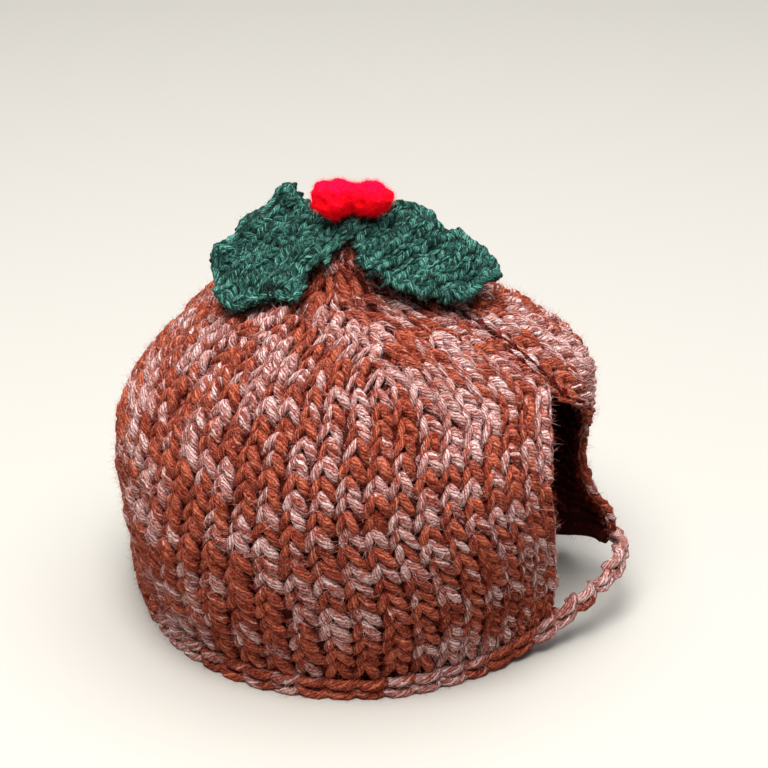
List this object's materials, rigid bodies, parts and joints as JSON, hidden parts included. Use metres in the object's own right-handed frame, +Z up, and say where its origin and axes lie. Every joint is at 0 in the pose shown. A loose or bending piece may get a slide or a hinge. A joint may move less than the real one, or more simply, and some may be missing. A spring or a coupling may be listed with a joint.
{
  "type": "tea cosy",
  "caption": "Hand-knitted tea cosy in marled wool: front and back panels gathered into a peak, open slits for spout and handle, knitted holly leaves and felted berries on top.",
  "frame": {"origin": "on the surface the cosy stands on, under the middle of the whole object's box", "axes": "+X towards the spout's slit, -X towards the handle's slit, -Y out of the front panel, +Y out of the back panel, +Z up to the peak"},
  "size_m": [0.155, 0.1452, 0.1383],
  "materials": {
    "marled_wool": "hand-knitted chunky wool, rust and pale pink by turns",
    "green_wool": "hand-knitted wool, dark teal green",
    "red_wool": "felted wool ball, fuzzy"
  },
  "bodies": {
    "root": {"front_panel": "marled_wool", "back_panel": "marled_wool", "leaf_left": "green_wool", "leaf_right": "green_wool", "berry_left": "red_wool", "berry_right": "red_wool"}
  },
  "joints": []
}
